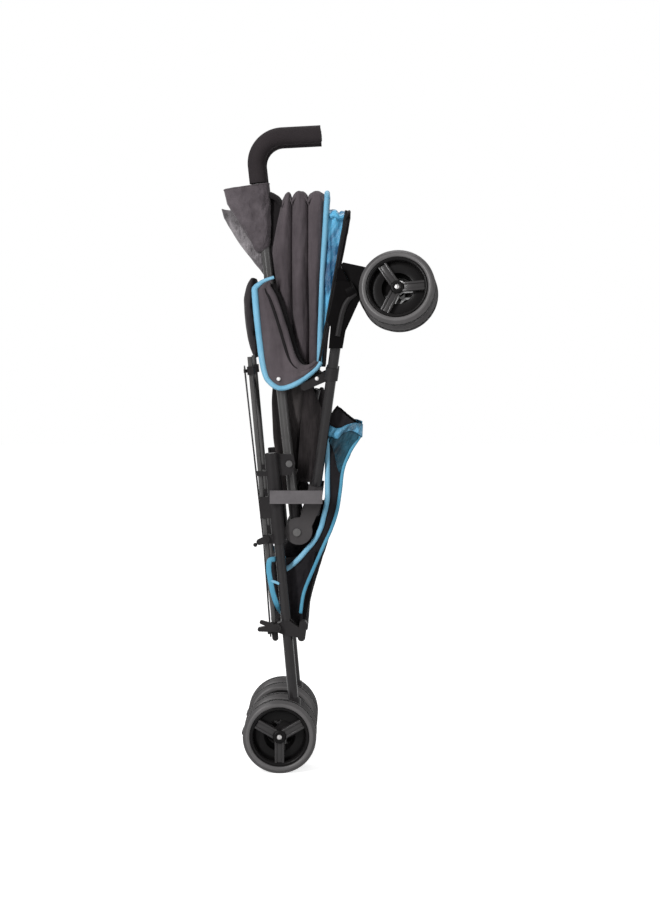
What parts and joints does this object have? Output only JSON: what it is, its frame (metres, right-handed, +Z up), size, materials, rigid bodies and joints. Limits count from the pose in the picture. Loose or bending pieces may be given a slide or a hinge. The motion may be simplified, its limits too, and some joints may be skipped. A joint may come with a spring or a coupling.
{
  "type": "folded umbrella stroller",
  "caption": "Umbrella stroller folded upright on its rear wheels, with curved foam handles, collapsed canopy, seat, basket, swivel front casters and a frame that unfolds.",
  "frame": {"origin": "on the floor under the middle of the folded stroller's bounding box", "axes": "+X to the stroller's front (the child's side), +Y to its left, +Z up"},
  "size_m": [0.3598, 0.3136, 1.0809],
  "materials": {
    "frame_paint": "satin black powder coat",
    "foam": "matt closed-cell foam",
    "steel": "plain",
    "tyre": "matt",
    "cloth": "woven black with blue binding",
    "pouch_cloth": "woven charcoal",
    "stay_plastic": "matt",
    "plastic": "fine grain black"
  },
  "bodies": {
    "rear_frame_right": {"rear_leg_right": "frame_paint", "guide_rail_right": "steel", "rear_connector_right": "plastic", "rail_clips_right": "plastic", "leg_bracket_right": "plastic", "wheel_foot_right": "plastic", "fold_clip": "plastic"},
    "handle_right": {"handle_tube_right": "frame_paint", "handle_grip_right": "foam", "handle_fittings_right": "plastic", "hinge_pins_right": "steel", "canopy": "cloth", "seat_back": "cloth", "handle_pouch": "pouch_cloth"},
    "front_frame_right": {"front_leg_right": "frame_paint", "front_knuckle_right": "plastic", "seat_bracket_right": "plastic", "caster_socket_right": "plastic"},
    "caster_right": {"caster_fork_right": "plastic"},
    "front_wheelset_right": {"front_tyres_right": "tyre", "front_wheels_right": "plastic"},
    "rear_wheelset_right": {"rear_tyres_right": "tyre", "rear_wheels_right": "plastic"},
    "brake_right": {"brake_pedal_right": "plastic"},
    "seat_side_right": {"seat_rail_right": "frame_paint", "seat_pad": "cloth"},
    "basket_side_right": {"basket_arm_right": "frame_paint", "basket": "cloth"},
    "canopy_front_right": {"canopy_stay_right": "stay_plastic"},
    "collar_right": {"rail_collar_right": "plastic"},
    "rear_frame_left": {"rear_leg_left": "frame_paint", "guide_rail_left": "steel", "rear_connector_left": "plastic", "rail_clips_left": "plastic", "leg_bracket_left": "plastic", "wheel_foot_left": "plastic"},
    "handle_left": {"handle_tube_left": "frame_paint", "handle_grip_left": "foam", "handle_fittings_left": "plastic", "hinge_pins_left": "steel"},
    "front_frame_left": {"front_leg_left": "frame_paint", "front_knuckle_left": "plastic", "seat_bracket_left": "plastic", "caster_socket_left": "plastic"},
    "caster_left": {"caster_fork_left": "plastic"},
    "front_wheelset_left": {"front_tyres_left": "tyre", "front_wheels_left": "plastic"},
    "rear_wheelset_left": {"rear_tyres_left": "tyre", "rear_wheels_left": "plastic"},
    "brake_left": {"brake_pedal_left": "plastic"},
    "seat_side_left": {"seat_rail_left": "frame_paint"},
    "basket_side_left": {"basket_arm_left": "frame_paint"},
    "canopy_front_left": {"canopy_stay_left": "stay_plastic"},
    "collar_left": {"rail_collar_left": "plastic"},
    "roof_rear": {"roof_batten_rear": "stay_plastic"},
    "roof_front": {"roof_batten_front": "stay_plastic"},
    "cross_a": {"cross_bar_a": "frame_paint"},
    "cross_b": {"cross_bar_b": "frame_paint"},
    "pedal": {"fold_pedal": "plastic"},
    "lever": {"lock_lever": "plastic"}
  },
  "joints": [
    {"name": "fold", "type": "hinge", "parent": "rear_frame_right", "child": "handle_right", "pos_m": [-0.06769, -0.0538, 0.5149], "axis": [0, -1, 0], "range_deg": [0, 41], "deforming": ["canopy", "seat_back", "seat_pad", "basket"]},
    {"name": "rear_width", "type": "slide", "parent": "rear_frame_right", "child": "rear_frame_left", "axis": [0, 1, 0], "range_m": [0, 0.1905]},
    {"name": "handle_width", "type": "slide", "parent": "handle_right", "child": "handle_left", "axis": [0, 1, 0], "range_m": [0, 0.1905]},
    {"name": "front_width", "type": "slide", "parent": "front_frame_right", "child": "front_frame_left", "axis": [0, 1, 0], "range_m": [0, 0.1905]},
    {"name": "seat_width", "type": "slide", "parent": "seat_side_right", "child": "seat_side_left", "axis": [0, 1, 0], "range_m": [0, 0.1905]},
    {"name": "basket_width", "type": "slide", "parent": "basket_side_right", "child": "basket_side_left", "axis": [0, 1, 0], "range_m": [0, 0.1905]},
    {"name": "front_fold", "type": "hinge", "parent": "handle_right", "child": "front_frame_right", "pos_m": [-0.05493, -0.058, 0.3993], "axis": [0, 1, 0], "range_deg": [0, 150.2]},
    {"name": "seat_fold", "type": "hinge", "parent": "handle_right", "child": "seat_side_right", "pos_m": [-0.06067, -0.0355, 0.4513], "axis": [0, 1, 0], "range_deg": [0, 99.2]},
    {"name": "basket_fold", "type": "hinge", "parent": "rear_frame_right", "child": "basket_side_right", "pos_m": [-0.04795, -0.068, 0.224], "axis": [0, 1, 0], "range_deg": [0, 56.2]},
    {"name": "canopy_open_right", "type": "hinge", "parent": "handle_right", "child": "canopy_front_right", "pos_m": [-0.02119, -0.0642, 0.6613], "axis": [0, 1, 0], "range_deg": [0, 95.2]},
    {"name": "canopy_open_left", "type": "hinge", "parent": "handle_left", "child": "canopy_front_left", "pos_m": [-0.02119, 0.0642, 0.6613], "axis": [0, 1, 0], "range_deg": [0, 95.2]},
    {"name": "roof_width", "type": "slide", "parent": "handle_right", "child": "roof_rear", "axis": [0, 1, 0], "range_m": [0, 0.0955]},
    {"name": "canopy_open_middle", "type": "hinge", "parent": "roof_rear", "child": "roof_front", "pos_m": [-0.02119, 0, 0.6613], "axis": [0, 1, 0], "range_deg": [0, 95.2]},
    {"name": "cross_a_swing", "type": "hinge", "parent": "rear_frame_right", "child": "cross_a", "pos_m": [-0.09195, -0.082, 0.232], "axis": [-0.996, 0, -0.0889], "range_deg": [0, 28.65]},
    {"name": "cross_b_swing", "type": "hinge", "parent": "rear_frame_left", "child": "cross_b", "pos_m": [-0.09195, 0.082, 0.232], "axis": [0.996, 0, 0.0889], "range_deg": [0, 28.65]},
    {"name": "collar_slide_right", "type": "slide", "parent": "rear_frame_right", "child": "collar_right", "axis": [0.0889, 0, -0.996], "range_m": [0, 0.13179]},
    {"name": "collar_slide_left", "type": "slide", "parent": "rear_frame_left", "child": "collar_left", "axis": [0.0889, 0, -0.996], "range_m": [0, 0.13179]},
    {"name": "caster_swivel_right", "type": "hinge", "parent": "front_frame_right", "child": "caster_right", "pos_m": [0.04077, -0.1, 0.802], "axis": [0.8829, 0, 0.4695], "continuous": true},
    {"name": "front_wheel_spin_right", "type": "hinge", "parent": "caster_right", "child": "front_wheelset_right", "pos_m": [0.11437, -0.11023, 0.80204], "axis": [0.1333, 0.9588, -0.2508], "continuous": true},
    {"name": "rear_wheel_spin_right", "type": "hinge", "parent": "rear_frame_right", "child": "rear_wheelset_right", "pos_m": [-0.08323, -0.082, 0.0615], "axis": [0, 1, 0], "continuous": true},
    {"name": "brake_press_right", "type": "hinge", "parent": "rear_frame_right", "child": "brake_right", "pos_m": [-0.10323, -0.082, 0.0765], "axis": [0, -1, 0], "range_deg": [0, 16]},
    {"name": "caster_swivel_left", "type": "hinge", "parent": "front_frame_left", "child": "caster_left", "pos_m": [0.04077, 0.1, 0.802], "axis": [0.8829, 0, 0.4695], "continuous": true},
    {"name": "front_wheel_spin_left", "type": "hinge", "parent": "caster_left", "child": "front_wheelset_left", "pos_m": [0.11437, 0.11023, 0.80204], "axis": [-0.1333, 0.9588, 0.2508], "continuous": true},
    {"name": "rear_wheel_spin_left", "type": "hinge", "parent": "rear_frame_left", "child": "rear_wheelset_left", "pos_m": [-0.08323, 0.082, 0.0615], "axis": [0, 1, 0], "continuous": true},
    {"name": "brake_press_left", "type": "hinge", "parent": "rear_frame_left", "child": "brake_left", "pos_m": [-0.10323, 0.082, 0.0765], "axis": [0, -1, 0], "range_deg": [0, 16]},
    {"name": "fold_pedal_press", "type": "hinge", "parent": "rear_frame_right", "child": "pedal", "pos_m": [-0.08766, -0.097, 0.241], "axis": [0, -1, 0], "range_deg": [0, 24], "stiffness_Nm_per_rad": 0.4, "springref_deg": -17.19},
    {"name": "lock_lever_lift", "type": "hinge", "parent": "rear_frame_right", "child": "lever", "pos_m": [-0.10596, -0.093, 0.389], "axis": [0, 1, 0], "range_deg": [0, 30]}
  ],
  "couplings": [
    {"joint": "rear_width", "follows": "fold", "m_per_rad": 0.26552},
    {"joint": "handle_width", "follows": "fold", "m_per_rad": 0.26552},
    {"joint": "front_width", "follows": "fold", "m_per_rad": 0.26552},
    {"joint": "seat_width", "follows": "fold", "m_per_rad": 0.26552},
    {"joint": "basket_width", "follows": "fold", "m_per_rad": 0.26552},
    {"joint": "front_fold", "follows": "fold", "ratio": 3.6585},
    {"joint": "seat_fold", "follows": "fold", "ratio": 2.4146},
    {"joint": "basket_fold", "follows": "fold", "ratio": 1.3659},
    {"joint": "canopy_open_right", "follows": "fold", "ratio": 2.3171},
    {"joint": "canopy_open_left", "follows": "fold", "ratio": 2.3171},
    {"joint": "roof_width", "follows": "fold", "m_per_rad": 0.13276},
    {"joint": "canopy_open_middle", "follows": "fold", "ratio": 2.3171},
    {"joint": "cross_a_swing", "follows": "fold", "ratio": 0.69379},
    {"joint": "cross_b_swing", "follows": "fold", "ratio": 0.69379},
    {"joint": "collar_slide_right", "follows": "fold", "m_per_rad": 0.18347},
    {"joint": "collar_slide_left", "follows": "fold", "m_per_rad": 0.18347}
  ]
}
